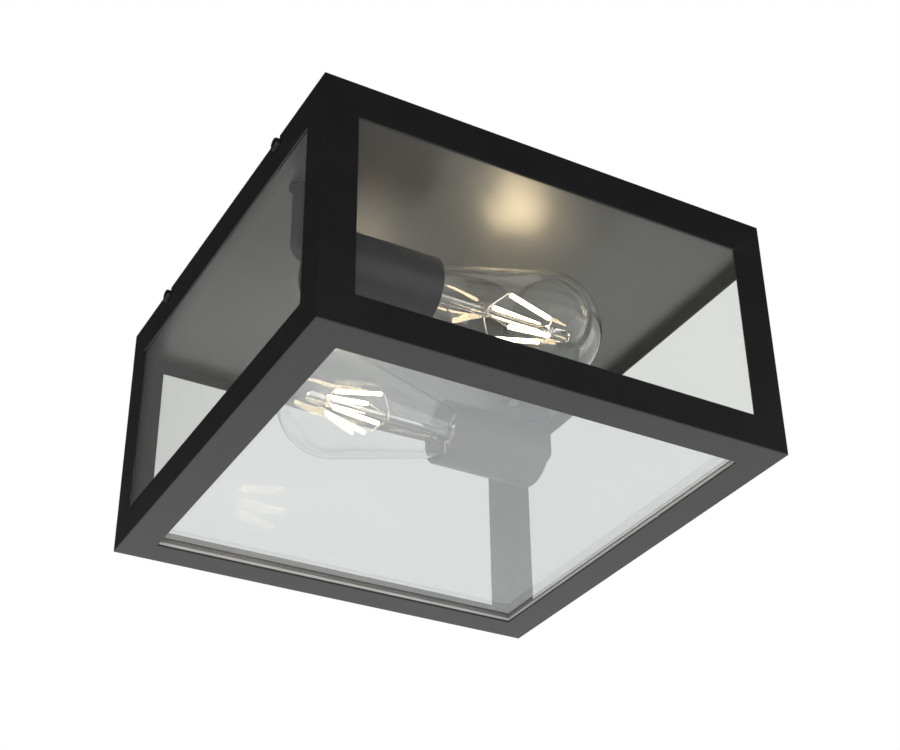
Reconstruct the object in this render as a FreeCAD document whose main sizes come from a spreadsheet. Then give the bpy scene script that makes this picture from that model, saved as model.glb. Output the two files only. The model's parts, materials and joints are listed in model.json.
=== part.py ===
"""Square flush lantern for a porch ceiling: a pan with two lampholders and lamps, and a glazed cage under it.

Row frame in millimetres: the ceiling is the plane z = 0 and the lantern hangs below it, +X runs along the
front side and both lamps lie along it.
"""
import FreeCAD
import Part
import math
import os
import Sketcher
from types import SimpleNamespace

# Driving dimensions, in millimetres, degrees and counts.
driving = {
    # cage
    "cage_width": 260.0,
    "cage_height": 142.0,
    "cage_sheet": 1.2,
    "post_width": 18.7,
    "top_rail_height": 21.4,
    "base_rail_height": 18.4,
    "base_flange_width": 18.5,
    # glazing
    "glass_thickness": 3.0,
    "base_seal_thickness": 1.8,
    "pane_clearance": 0.3,
    "pane_top_gap": 0.5,
    # ceiling pan
    "pan_depth": 14.0,
    "pan_sheet": 1.2,
    "pan_clearance": 0.4,
    # screws that clamp the cage to the pan
    "clamp_spacing": 150.0,
    "clamp_drop": 5.0,
    "clamp_shank_radius": 2.0,
    "clamp_shank_length": 8.0,
    "clamp_head_radius": 3.6,
    "clamp_head_height": 2.4,
    "clamp_slot_width": 1.0,
    "clamp_slot_depth": 1.2,
    "clamp_seat_gap": 0.1,
    "notch_clearance": 0.3,
    "weld_nut_width": 7.0,
    "weld_nut_height": 3.2,
    # bar on the ceiling, with its studs and cap nuts
    "bar_length": 124.0,
    "bar_width": 22.0,
    "bar_sheet": 1.5,
    "bar_slot_spacing": 70.0,
    "bar_slot_length": 14.0,
    "bar_slot_radius": 2.4,
    "stud_spacing": 100.0,
    "stud_radius": 2.0,
    "stud_length": 18.0,
    "cap_nut_flats": 7.0,
    "cap_nut_height": 3.2,
    "cap_nut_dome_radius": 3.2,
    # wiring
    "block_length": 34.0,
    "block_width": 18.0,
    "block_height": 10.0,
    "block_slit_width": 1.2,
    "block_slit_depth": 4.0,
    "block_slit_offset": 3.1,
    "block_way_offset": 6.8,
    "block_earth_offset": 11.3,
    "block_screw_radius": 1.5,
    "block_screw_head_radius": 2.8,
    "block_screw_head_height": 1.8,
    "block_screw_length": 6.0,
    "earth_reach": 32.0,
    "earth_offset": 26.0,
    "earth_screw_radius": 2.0,
    "earth_head_radius": 3.4,
    "earth_head_height": 2.4,
    "earth_lug_radius": 5.4,
    "earth_lug_thickness": 0.8,
    "wire_radius": 1.1,
    "wire_pair_offset": 1.6,
    "wire_height": 4.8,
    "wire_straight": 27.0,
    "wire_sweep_bend": 18.0,
    "wire_bend": 4.0,
    "wire_drop_back": 7.5,
    "sheath_radius": 3.5,
    "sheath_wall": 0.6,
    "sheath_bend": 6.0,
    "bush_flange_radius": 5.5,
    "bush_flange_thickness": 1.2,
    "bush_waist_radius": 4.2,
    # lampholders
    "holder_offset": 60.0,
    "lamp_axis_drop": 56.0,
    "holder_end_gap": 26.9,
    "sleeve_length": 64.5,
    "sleeve_radius": 19.5,
    "sleeve_wall": 1.0,
    "sleeve_base": 1.5,
    "bracket_sheet": 1.5,
    "bracket_width": 26.0,
    "bracket_foot": 15.0,
    "bracket_corner": 6.0,
    "bracket_below_axis": 12.0,
    "rivet_spacing": 16.0,
    "rivet_radius": 1.6,
    "rivet_head_radius": 3.2,
    "rivet_head_height": 1.0,
    "nipple_radius": 5.0,
    "nipple_bore": 3.6,
    "nipple_flange_radius": 7.0,
    "nipple_flange_thickness": 1.2,
    "nipple_nut_flats": 14.0,
    "nipple_nut_height": 3.0,
    "core_clearance": 0.3,
    "core_length": 50.5,
    "core_chamber_radius": 12.0,
    "core_chamber_depth": 16.0,
    "core_web": 5.0,
    "shell_wall": 0.5,
    "shell_length": 26.0,
    "contact_radius": 4.0,
    "contact_pin_radius": 1.5,
    # lamps
    "lamp_length": 140.0,
    "lamp_insertion": 38.0,
    "lamp_dome_radius": 32.0,
    "lamp_neck_radius": 14.2,
    "lamp_neck_start": 30.0,
    "lamp_glass_wall": 1.0,
    "cap_length": 27.0,
    "cap_skirt_height": 2.0,
    "cap_skirt_step": 1.0,
    "cap_thread_radius": 13.1,
    "cap_thread_depth": 0.9,
    "cap_thread_pitch": 3.629,
    "cap_wall": 0.5,
    "cap_thread_clearance": 0.3,
    "tip_radius": 4.8,
    "tip_height": 1.6,
    "tip_bulge_radius": 9.6,
    "insulator_height": 4.4,
    "stem_radius": 2.2,
    "stem_flare_height": 8.0,
    "stem_flare_length": 14.0,
    "stem_button_gap": 1.5,
    "stem_button_radius": 3.4,
    "stem_button_length": 11.0,
    "filament_radius": 1.2,
    "filament_length": 28.0,
    "filament_base_reach": 13.0,
    "filament_top_reach": 7.0,
    "filament_base_height": 82.0,
    "filament_wire_radius": 0.4,
    "filament_bead_radius": 0.5,
    "filament_collar_height": 1.6,
    "filament_lead_drop": 7.4,
    # running fits and joints between fixed pieces
    "hole_clearance": 0.3,
    "fit_clearance": 0.05,
}
counts = {"filament_count": 4, "thread_turns": 4}
filament_roll = {"left": 55.0, "right": 35.0}  # degrees round each lamp to its first filament


class Size:
    """A length that knows both its number and the spreadsheet expression that it comes from."""

    def __init__(self, words, value):
        self.words = words
        self.value = value

    def joined(self, sign, other, value):
        return Size("(%s %s %s)" % (self.words, sign, other.words), value)

    def __add__(self, other):
        other = sized(other)
        return self.joined("+", other, self.value + other.value)

    def __sub__(self, other):
        other = sized(other)
        return self.joined("-", other, self.value - other.value)

    def __mul__(self, other):
        other = sized(other)
        return self.joined("*", other, self.value * other.value)

    def __truediv__(self, other):
        other = sized(other)
        return self.joined("/", other, self.value / other.value)

    def __radd__(self, other):
        return sized(other) + self

    def __rsub__(self, other):
        return sized(other) - self

    def __rmul__(self, other):
        return sized(other) * self

    def __neg__(self):
        return sized(0) - self

    def root(self):
        return Size("sqrt(%s)" % self.words, math.sqrt(self.value))


def sized(number):
    return number if isinstance(number, Size) else Size("%.6f" % number, float(number))


doc = FreeCAD.newDocument("porch_lantern")
sheet = doc.addObject("Spreadsheet::Sheet", "Sizes")
for row, (alias, number) in enumerate({**driving, **counts}.items(), 1):
    sheet.set("A%d" % row, alias)
    sheet.set("B%d" % row, str(number))
    sheet.setAlias("B%d" % row, alias)
doc.recompute()
at = SimpleNamespace(**{alias: Size("Sizes." + alias, number) for alias, number in driving.items()})

X = FreeCAD.Vector(1, 0, 0)
Y = FreeCAD.Vector(0, 1, 0)
Z = FreeCAD.Vector(0, 0, 1)
STRAIGHT = FreeCAD.Rotation(Z, 0)
THROUGH = 3  # a drilling tool is this many times as long as the wall it goes through
nodes = []


# ---------------------------------------------------------------- helpers

def bind(item, **sizes):
    """Ties each named property of an object to its size."""
    for prop, length in sizes.items():
        item.setExpression(prop, sized(length).words)
    return item


def place(item, spot=(0, 0, 0), turn=STRAIGHT):
    """Puts an object at a spot made of sizes, turned about its own origin."""
    item.Placement = FreeCAD.Placement(FreeCAD.Vector(*[sized(part).value for part in spot]), turn)
    for letter, part in zip("xyz", spot):
        item.setExpression("Placement.Base." + letter, sized(part).words)
    return item


def node(item, label):
    """Names an object as one of the lantern's pieces."""
    item.Label = label
    nodes.append(item)
    return item


def turned_about_z(degrees):
    return FreeCAD.Rotation(Z, degrees)


def box(name, low, span, turn=STRAIGHT):
    item = doc.addObject("Part::Box", name)
    bind(item, Length=span[0], Width=span[1], Height=span[2])
    return place(item, low, turn)


def rod(name, radius, length, spot=(0, 0, 0), turn=STRAIGHT):
    item = doc.addObject("Part::Cylinder", name)
    bind(item, Radius=radius, Height=length)
    return place(item, spot, turn)


def hexagon(name, flats, height, spot=(0, 0, 0), turn=STRAIGHT):
    item = doc.addObject("Part::Prism", name)
    item.Polygon = 6
    bind(item, Circumradius=flats / sized(3).root(), Height=height)
    return place(item, spot, turn)


def fused(name, *pieces):
    item = doc.addObject("Part::MultiFuse", name)
    item.Shapes = list(pieces)
    return item


def cut(name, base, *tools):
    item = doc.addObject("Part::Cut", name)
    item.Base = base
    item.Tool = tools[0] if len(tools) == 1 else fused(name + "_tools", *tools)
    return item


def group(name, pieces):
    item = doc.addObject("Part::Compound", name)
    item.Links = list(pieces)
    return item


def new_body(name):
    return doc.addObject("PartDesign::Body", name)


def flat(point):
    return FreeCAD.Vector(sized(point[0]).value, sized(point[1]).value, 0)


def arc_between(start, end, radius, side):
    """A short arc from start to end with its centre on the left (side 1) or the right (side -1)."""
    chord = end - start
    middle = (start + end) * 0.5
    across = FreeCAD.Vector(-chord.y, chord.x, 0).normalize()
    centre = middle + across * side * math.sqrt(max(radius ** 2 - chord.Length ** 2 / 4, 0))
    first, last = (start, end) if side > 0 else (end, start)
    angles = [math.atan2(point.y - centre.y, point.x - centre.x) for point in (first, last)]
    return Part.ArcOfCircle(Part.Circle(centre, Z, radius), *angles)


def draw_loop(drawn, corners):
    """Draws a closed outline. A corner is (x, y), or (x, y, radius, side) where an arc leads to it."""
    ends = []
    for index, corner in enumerate(corners):
        start = flat(corners[index - 1])
        end = flat(corner)
        if len(corner) == 4:
            radius = sized(corner[2]).value
            line = drawn.addGeometry(arc_between(start, end, radius, corner[3]), False)
            if (end - start).Length < radius * 1.999:
                fix(drawn, "Radius", (line,), corner[2])
            else:
                half_circle_centre(drawn, line, corners[index - 1], corner)
            ends.append((line, 1, 2) if corner[3] > 0 else (line, 2, 1))
        else:
            line = drawn.addGeometry(Part.LineSegment(start, end), False)
            ends.append((line, 1, 2))
    for index, (line, first, last) in enumerate(ends):
        following = ends[(index + 1) % len(ends)]
        drawn.addConstraint(Sketcher.Constraint("Coincident", line, last, following[0], following[1]))
        fix(drawn, "DistanceX", (-1, 1, line, last), corners[index][0])
        fix(drawn, "DistanceY", (-1, 1, line, last), corners[index][1])


def half_circle_centre(drawn, line, start, end):
    """A half circle is held by its centre, midway between its ends."""
    upright = abs(flat(end).x - flat(start).x) < abs(flat(end).y - flat(start).y)
    which = 0 if upright else 1
    fix(drawn, "DistanceX" if upright else "DistanceY", (-1, 1, line, 3), (start[which] + end[which]) / 2)


def draw_circle(drawn, centre, radius):
    ring = drawn.addGeometry(Part.Circle(flat(centre), Z, sized(radius).value), False)
    fix(drawn, "Radius", (ring,), radius)
    fix(drawn, "DistanceX", (-1, 1, ring, 3), centre[0])
    fix(drawn, "DistanceY", (-1, 1, ring, 3), centre[1])


def fix(drawn, kind, where, length):
    """Adds a dimension to a sketch and ties it to its size."""
    length = sized(length)
    number = drawn.addConstraint(Sketcher.Constraint(kind, *where, length.value))
    drawn.setExpression("Constraints[%d]" % number, length.words)


def sketch(body, role, loops=(), circles=()):
    """A sketch on one of the body's own origin planes."""
    drawn = body.newObject("Sketcher::SketchObject", body.Name + "_sketch")
    plane = [item for item in body.Origin.OriginFeatures if item.Role == role][0]
    drawn.AttachmentSupport = [(plane, "")]
    drawn.MapMode = "FlatFace"
    for corners in loops:
        draw_loop(drawn, corners)
    for centre, radius in circles:
        draw_circle(drawn, centre, radius)
    return drawn


def pad(body, drawn, length, both_ways=False, downward=False):
    item = body.newObject("PartDesign::Pad", body.Name + "_pad")
    item.Profile = drawn
    item.Midplane = both_ways
    item.Reversed = downward
    bind(item, Length=length)
    return item


def pocket(body, drawn, length, both_ways=False, upward=False):
    """Cuts a sketch out of a body and checks that the cut took something away."""
    doc.recompute()
    before = body.Shape.Volume
    item = body.newObject("PartDesign::Pocket", body.Name + "_pocket")
    item.Profile = drawn
    item.Midplane = both_ways
    item.Reversed = upward
    bind(item, Length=length)
    doc.recompute()
    if body.Shape.Volume >= before:
        raise ValueError("%s: a pocket cuts nothing" % body.Name)
    return item


def turned_piece(name, corners):
    """A body turned about its Z axis from an outline of (radius, height) corners."""
    body = new_body(name)
    drawn = sketch(body, "XZ_Plane", [corners])
    item = body.newObject("PartDesign::Revolution", name + "_turned")
    item.Profile = drawn
    item.ReferenceAxis = (drawn, ["V_Axis"])
    item.Angle = 360
    return body


def rectangle(low_x, low_y, high_x, high_y):
    return [(low_x, low_y), (high_x, low_y), (high_x, high_y), (low_x, high_y)]


def square(half):
    return rectangle(-half, -half, half, half)


# ---------------------------------------------------------------- places shared by several pieces

half_width = at.cage_width / 2
cage_inside = half_width - at.cage_sheet
pan_half = cage_inside - at.pan_clearance
pan_underside = -at.pan_depth
pan_floor = pan_underside + at.pan_sheet
base_inside = -at.cage_height + at.cage_sheet
base_pane_low = base_inside + at.base_seal_thickness
base_pane_top = base_pane_low + at.glass_thickness
pane_height = pan_underside - at.pane_top_gap - base_pane_top

holder_back = pan_half - at.holder_end_gap
mouth_x = holder_back - at.sleeve_length
bracket_back = holder_back + at.bracket_sheet
nipple_back = bracket_back + at.nipple_flange_thickness
wire_drop_x = bracket_back + at.wire_drop_back
sheath_bore = at.sheath_radius - at.sheath_wall
core_floor = at.sleeve_base + at.core_chamber_depth + at.core_web
lamp_tip_height = at.sleeve_length - at.lamp_insertion

# The left lamp points along +X and the right lamp is the same turned half a turn about the ceiling's centre.
ALONG_X = FreeCAD.Rotation(Y, 90)
SIDES = {"left": (-1, ALONG_X, STRAIGHT), "right": (1, turned_about_z(180) * ALONG_X, turned_about_z(180))}
QUARTERS = {"front": 0, "right": 90, "back": 180, "left": 270}


# ---------------------------------------------------------------- cage

def mitred_strip(inner):
    """Plan outline of a strip along the front side, cut at 45 degrees at both ends."""
    return [(-half_width, -half_width), (half_width, -half_width), (inner, -inner), (-inner, -inner)]


def make_top_rail(side, degrees):
    body = new_body("top_rail_" + side)
    pad(body, sketch(body, "XY_Plane", [mitred_strip(cage_inside)]), at.top_rail_height, downward=True)
    if side in ("left", "right"):
        notch = at.clamp_shank_radius + at.notch_clearance
        notches = []
        for sign in (-1, 1):
            middle = at.clamp_spacing / 2 * sign
            notches.append([(middle + notch, at.cage_sheet), (middle - notch, at.cage_sheet),
                            (middle - notch, -at.clamp_drop), (middle, -at.clamp_drop - notch, notch, 1),
                            (middle + notch, -at.clamp_drop, notch, 1)])
        pocket(body, sketch(body, "XZ_Plane", notches), at.cage_width * 2, both_ways=True)
    place(body, turn=turned_about_z(degrees))
    return node(body, "top_rail_" + side)


def make_base_rail(side, degrees):
    body = new_body("base_rail_" + side)
    pad(body, sketch(body, "XY_Plane", [mitred_strip(cage_inside)]), at.base_rail_height)
    pad(body, sketch(body, "XY_Plane", [mitred_strip(half_width - at.base_flange_width)]), at.cage_sheet)
    place(body, (0, 0, -at.cage_height), turned_about_z(degrees))
    return node(body, "base_rail_" + side)


def make_corner_post(side, degrees):
    body = new_body("corner_post_" + side)
    edge = half_width - at.post_width
    angle = [(-half_width, -half_width), (-edge, -half_width), (-edge, -cage_inside),
             (-cage_inside, -cage_inside), (-cage_inside, -edge), (-half_width, -edge)]
    pad(body, sketch(body, "XY_Plane", [angle]), at.cage_height - at.top_rail_height - at.base_rail_height)
    place(body, (0, 0, -at.cage_height + at.base_rail_height), turned_about_z(degrees))
    return node(body, "corner_post_" + side)


def make_panes():
    """Left and right panes fill their sides; the front and back panes stand between them."""
    full = cage_inside - at.pane_clearance
    between = cage_inside - at.glass_thickness - at.pane_clearance
    for side, sign in (("left", -1), ("right", 1)):
        low = -cage_inside if sign < 0 else cage_inside - at.glass_thickness
        node(box("side_pane_" + side, (low, -full, base_pane_top),
                 (at.glass_thickness, full * 2, pane_height)), "side_pane_" + side)
    for side, sign in (("front", -1), ("back", 1)):
        low = -cage_inside if sign < 0 else cage_inside - at.glass_thickness
        node(box("side_pane_" + side, (-between, low, base_pane_top),
                 (between * 2, at.glass_thickness, pane_height)), "side_pane_" + side)
    node(box("base_pane", (-full, -full, base_pane_low), (full * 2, full * 2, at.glass_thickness)), "base_pane")


def make_base_seal():
    body = new_body("base_seal")
    loops = [square(cage_inside - at.pane_clearance), square(half_width - at.base_flange_width)]
    pad(body, sketch(body, "XY_Plane", loops), at.base_seal_thickness)
    place(body, (0, 0, base_inside))
    return node(body, "base_seal")


# ---------------------------------------------------------------- ceiling pan and its fixings

def make_ceiling_pan():
    body = new_body("ceiling_pan")
    pad(body, sketch(body, "XY_Plane", [square(pan_half)]), at.pan_depth, downward=True)
    pocket(body, sketch(body, "XY_Plane", [square(pan_half - at.pan_sheet)]), at.pan_depth - at.pan_sheet)
    holes = [((0, 0), at.block_screw_radius + at.hole_clearance),
             ((at.earth_reach, at.earth_offset), at.earth_screw_radius + at.fit_clearance)]
    for sign in (-1, 1):
        holes.append(((at.stud_spacing / 2 * sign, 0), at.stud_radius + at.hole_clearance))
        holes.append(((wire_drop_x * sign, at.holder_offset * sign), at.bush_waist_radius + at.fit_clearance))
        for step in (-1, 1):
            spot = (rivet_x * sign, at.holder_offset * sign + at.rivet_spacing / 2 * step)
            holes.append((spot, at.rivet_radius + at.fit_clearance))
    pocket(body, sketch(body, "XY_Plane", circles=holes), at.pan_depth * 2)
    clamp_hole = at.clamp_shank_radius + at.hole_clearance
    flange_holes = [((at.clamp_spacing / 2 * sign, -at.clamp_drop), clamp_hole) for sign in (-1, 1)]
    pocket(body, sketch(body, "YZ_Plane", circles=flange_holes), at.cage_width * 2, both_ways=True)
    return node(body, "ceiling_pan")


def make_clamp_fixings():
    """Four screws through the side flanges, each into a nut welded inside the pan."""
    screws = []
    nuts = []
    for side, turn_back in (("left", 90), ("right", -90)):
        sign = SIDES[side][0]
        inward = FreeCAD.Rotation(Y, turn_back)
        seat = (half_width + at.clamp_seat_gap) * sign
        nut_seat = (pan_half - at.pan_sheet) * sign
        for step in (-1, 1):
            name = "%s_%s" % (side, "front" if step < 0 else "back")
            y = at.clamp_spacing / 2 * step
            shank = rod("clamp_shank_" + name, at.clamp_shank_radius, at.clamp_shank_length,
                        (seat, y, -at.clamp_drop), inward)
            head = rod("clamp_head_" + name, at.clamp_head_radius, at.clamp_head_height,
                       (seat + at.clamp_head_height * sign, y, -at.clamp_drop), inward)
            face = seat + at.clamp_head_height * sign
            slot = box("clamp_slot_" + name,
                       (face - at.clamp_slot_depth if sign > 0 else face, y - at.clamp_head_radius,
                        -at.clamp_drop - at.clamp_slot_width / 2),
                       (at.clamp_slot_depth, at.clamp_head_radius * 2, at.clamp_slot_width))
            screws.append(cut("clamp_screw_" + name, fused("clamp_solid_" + name, shank, head), slot))
            width = at.weld_nut_width
            low = nut_seat - (at.weld_nut_height if sign > 0 else 0)
            blank = box("nut_blank_" + name, (low, y - width / 2, -at.clamp_drop - width / 2),
                        (at.weld_nut_height, width, width))
            bore = rod("nut_bore_" + name, at.clamp_shank_radius + at.fit_clearance,
                       at.weld_nut_height * THROUGH,
                       (nut_seat + at.weld_nut_height * sign, y, -at.clamp_drop), inward)
            nuts.append(cut("weld_nut_" + name, blank, bore))
    node(group("clamp_screw_group", screws), "clamp_screws")
    node(group("weld_nut_group", nuts), "weld_nuts")


def slot_outline(middle, length, radius):
    """A round-ended slot along X."""
    reach = length / 2 - radius
    return [(middle + reach, -radius), (middle + reach, radius, radius, 1),
            (middle - reach, radius), (middle - reach, -radius, radius, 1)]


def make_mounting_bar():
    body = new_body("mounting_bar")
    outline = rectangle(-at.bar_length / 2, -at.bar_width / 2, at.bar_length / 2, at.bar_width / 2)
    pad(body, sketch(body, "XY_Plane", [outline]), at.bar_sheet, downward=True)
    slots = [slot_outline(at.bar_slot_spacing / 2 * sign, at.bar_slot_length, at.bar_slot_radius)
             for sign in (-1, 1)]
    tapped = [((at.stud_spacing / 2 * sign, 0), at.stud_radius + at.fit_clearance) for sign in (-1, 1)]
    pocket(body, sketch(body, "XY_Plane", slots, tapped), at.bar_sheet * 2)
    return node(body, "mounting_bar")


def make_bar_fixings():
    """Two studs down from the bar, and a cap nut on each under the pan."""
    studs, nuts = [], []
    for side in SIDES:
        x = at.stud_spacing / 2 * SIDES[side][0]
        studs.append(rod("stud_" + side, at.stud_radius, at.stud_length, (x, 0, -at.stud_length)))
        flats = hexagon("nut_hex_" + side, at.cap_nut_flats, at.cap_nut_height,
                        (x, 0, pan_underside - at.cap_nut_height))
        dome = doc.addObject("Part::Sphere", "nut_dome_" + side)
        bind(dome, Radius=at.cap_nut_dome_radius)
        place(dome, (x, 0, pan_underside - at.cap_nut_height))
        bore_depth = at.stud_length + pan_underside + at.hole_clearance
        bore = rod("nut_thread_" + side, at.stud_radius + at.fit_clearance, bore_depth,
                   (x, 0, pan_underside - bore_depth))
        nuts.append(cut("cap_nut_" + side, fused("nut_solid_" + side, flats, dome), bore))
    node(group("stud_group", studs), "bar_studs")
    node(group("cap_nut_group", nuts), "cap_nuts")


# ---------------------------------------------------------------- lampholders

rivet_x = holder_back - at.bracket_foot / 2


def make_bracket(side):
    """An angle: the foot under the pan runs inward over the sleeve, the tab hangs behind it."""
    sign, _, half_turn = SIDES[side]
    body = new_body("holder_bracket_" + side)
    half = at.bracket_width / 2
    low = -at.lamp_axis_drop - at.bracket_below_axis
    corner = at.bracket_corner
    tab = [(-half, pan_underside), (-half, low + corner), (-half + corner, low, corner, 1),
           (half - corner, low), (half, low + corner, corner, 1), (half, pan_underside)]
    pad(body, sketch(body, "YZ_Plane", [tab]), at.bracket_sheet, downward=True)
    foot = rectangle(-at.bracket_sheet, pan_underside - at.bracket_sheet, at.bracket_foot, pan_underside)
    pad(body, sketch(body, "XZ_Plane", [foot]), at.bracket_width, both_ways=True)
    nipple_hole = ((0, -at.lamp_axis_drop), at.nipple_radius + at.fit_clearance)
    pocket(body, sketch(body, "YZ_Plane", circles=[nipple_hole]), at.bracket_sheet * 4, both_ways=True)
    rivet_holes = [((at.bracket_foot / 2, at.rivet_spacing / 2 * step), at.rivet_radius + at.fit_clearance)
                   for step in (-1, 1)]
    pocket(body, sketch(body, "XY_Plane", circles=rivet_holes), at.pan_depth * 2)
    place(body, (holder_back * sign, at.holder_offset * sign, 0), half_turn)
    return node(body, "holder_bracket_" + side)


def make_rivets():
    rivets = []
    for side in SIDES:
        sign = SIDES[side][0]
        for step in (-1, 1):
            name = "%s_%s" % (side, "near" if step < 0 else "far")
            spot = (rivet_x * sign, at.holder_offset * sign + at.rivet_spacing / 2 * step)
            under = pan_underside - at.bracket_sheet
            shank = rod("rivet_shank_" + name, at.rivet_radius,
                        at.pan_sheet + at.bracket_sheet + at.rivet_head_height * 2,
                        (*spot, under - at.rivet_head_height))
            heads = [rod("rivet_head_%s_%d" % (name, index), at.rivet_head_radius, at.rivet_head_height,
                         (*spot, low)) for index, low in enumerate((under - at.rivet_head_height, pan_floor))]
            rivets.append(fused("rivet_" + name, shank, *heads))
    return node(group("rivet_group", rivets), "bracket_rivets")


def on_holder(item, side, label):
    """Places a piece that was turned about Z with its foot at the sleeve's back face."""
    sign, turn, _ = SIDES[side]
    place(item, (holder_back * sign, at.holder_offset * sign, -at.lamp_axis_drop), turn)
    return node(item, label)


def on_lamp(item, side, label):
    """Places a lamp piece, turned about Z with the lamp's tip at its origin."""
    sign, turn, _ = SIDES[side]
    tip_x = (mouth_x + at.lamp_insertion) * sign
    place(item, (tip_x, at.holder_offset * sign, -at.lamp_axis_drop), turn)
    return node(item, label)


def make_sleeve(side):
    bore = at.sleeve_radius - at.sleeve_wall
    hole = at.nipple_radius + at.fit_clearance
    name = "holder_sleeve_" + side
    return on_holder(turned_piece(name, [
        (hole, 0), (at.sleeve_radius, 0), (at.sleeve_radius, at.sleeve_length),
        (bore, at.sleeve_length), (bore, at.sleeve_base), (hole, at.sleeve_base)]), side, name)


def make_core(side):
    """Insulating core: a wiring chamber behind, a web, and the cup that holds the screw shell."""
    outer = at.sleeve_radius - at.sleeve_wall - at.core_clearance
    cup = shell_outer + at.fit_clearance
    web_low = at.sleeve_base + at.core_chamber_depth
    top = at.sleeve_base + at.core_length
    pin = at.contact_pin_radius + at.fit_clearance
    name = "holder_core_" + side
    body = turned_piece(name, [
        (at.core_chamber_radius, at.sleeve_base), (outer, at.sleeve_base), (outer, top), (cup, top),
        (cup, core_floor), (pin, core_floor), (pin, web_low), (at.core_chamber_radius, web_low)])
    return on_holder(body, side, name)


shell_outer = at.cap_thread_radius + at.cap_thread_clearance + at.cap_thread_depth + at.shell_wall


def thread_rings(inside, depth, start, outward):
    """Rounded thread rings up a wall, as (radius, height, bend radius, side) corners."""
    quarter = at.cap_thread_pitch / 4
    bend = (quarter * quarter + depth * depth / 4) / depth
    corners = []
    for turn in range(counts["thread_turns"]):
        foot = start + at.cap_thread_pitch * turn
        middle = inside + depth / 2 * outward
        crest = inside + depth * outward
        corners += [(middle, foot + quarter, bend, -outward), (crest, foot + quarter * 2, bend, outward),
                    (middle, foot + quarter * 3, bend, outward), (inside, foot + quarter * 4, bend, -outward)]
    return corners


def make_shell(side):
    """Brass screw shell: its inner wall swells between the rings of the lamp's thread."""
    inner = at.cap_thread_radius + at.cap_thread_clearance
    low = core_floor
    top = low + at.shell_length
    rings_start = lamp_tip_height + thread_start
    name = "screw_shell_" + side
    corners = [(at.contact_radius + at.contact_pin_radius, low), (shell_outer, low), (shell_outer, top),
               (inner, top)]
    rings = thread_rings(inner, at.cap_thread_depth, rings_start, 1)
    down = [(inner, rings_start + at.cap_thread_pitch * counts["thread_turns"])]
    for index in range(len(rings) - 1, 0, -1):
        radius, height = rings[index - 1][:2]
        bend, turn_side = rings[index][2:]
        down.append((radius, height, bend, -turn_side))
    first = rings[0]
    down.append((inner, rings_start, first[2], -first[3]))
    corners += down
    corners += [(inner, low + at.shell_wall), (at.contact_radius + at.contact_pin_radius, low + at.shell_wall)]
    return on_holder(turned_piece(name, corners), side, name)


def make_contact(side):
    """Centre contact: a pin through the web under a sprung button that meets the lamp's tip."""
    top = lamp_tip_height - at.fit_clearance
    foot = at.sleeve_base + at.core_chamber_depth
    neck = at.contact_pin_radius
    name = "centre_contact_" + side
    return on_holder(turned_piece(name, [
        (0, foot), (neck, foot), (neck, core_floor), (at.contact_radius, core_floor),
        (at.contact_radius, core_floor + at.shell_wall), (neck + at.shell_wall, core_floor + at.shell_wall * 2),
        (neck + at.shell_wall, top), (0, top)]), side, name)


def make_nipples():
    """Hollow nipples that pin each sleeve to its bracket, with a flange behind and a nut in the core."""
    nipples, nuts = [], []
    for side in SIDES:
        sign, turn, _ = SIDES[side]
        back = at.bracket_sheet + at.nipple_flange_thickness
        top = at.sleeve_base + at.nipple_nut_height
        nipple = turned_piece("nipple_" + side, [
            (at.nipple_bore, -back), (at.nipple_flange_radius, -back),
            (at.nipple_flange_radius, -at.bracket_sheet), (at.nipple_radius, -at.bracket_sheet),
            (at.nipple_radius, top), (at.nipple_bore, top)])
        spot = (holder_back * sign, at.holder_offset * sign, -at.lamp_axis_drop)
        nipples.append(place(nipple, spot, turn))
        blank = hexagon("nipple_nut_blank_" + side, at.nipple_nut_flats, at.nipple_nut_height,
                        ((holder_back - at.sleeve_base) * sign, spot[1], spot[2]), turn)
        bore = rod("nipple_nut_bore_" + side, at.nipple_radius + at.fit_clearance,
                   at.nipple_nut_height * THROUGH,
                   (holder_back * sign, spot[1], spot[2]), turn)
        nuts.append(cut("nipple_nut_" + side, blank, bore))
    node(group("nipple_group", nipples), "holder_nipples")
    node(group("nipple_nut_group", nuts), "nipple_nuts")


# ---------------------------------------------------------------- wiring

def path_along(points, bends):
    """A wire of straight runs joined by tangent arcs, one bend radius for each inner point."""
    edges = []
    last = points[0]
    for index in range(1, len(points) - 1):
        here = points[index]
        into = (here - points[index - 1]).normalize()
        out = (points[index + 1] - here).normalize()
        half_turn = into.getAngle(out) / 2
        trim = bends[index - 1] * math.tan(half_turn)
        start, end = here - into * trim, here + out * trim
        inward = (out - into).normalize()
        middle = here + inward * (bends[index - 1] / math.cos(half_turn) - bends[index - 1])
        edges.append(Part.LineSegment(last, start).toShape())
        edges.append(Part.Arc(start, middle, end).toShape())
        last = end
    edges.append(Part.LineSegment(last, points[-1]).toShape())
    return Part.Wire(edges)


def tube_along(path, radius, bore=0):
    """A round tube along a path, hollow where it has a bore."""
    start = path.OrderedVertexes[0].Point
    direction = path.OrderedEdges[0].tangentAt(path.OrderedEdges[0].FirstParameter)
    solids = []
    for size in (radius, bore):
        if size:
            ring = Part.Wire(Part.makeCircle(size, start, direction))
            solids.append(path.makePipeShell([ring], True, False))
    return solids[0].cut(solids[1]) if bore else solids[0]


def solid_feature(name, shape):
    item = doc.addObject("Part::Feature", name)
    item.Shape = shape
    return item


def rounded_route(points):
    return [FreeCAD.Vector(*[sized(part).value for part in point]) for point in points]


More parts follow.
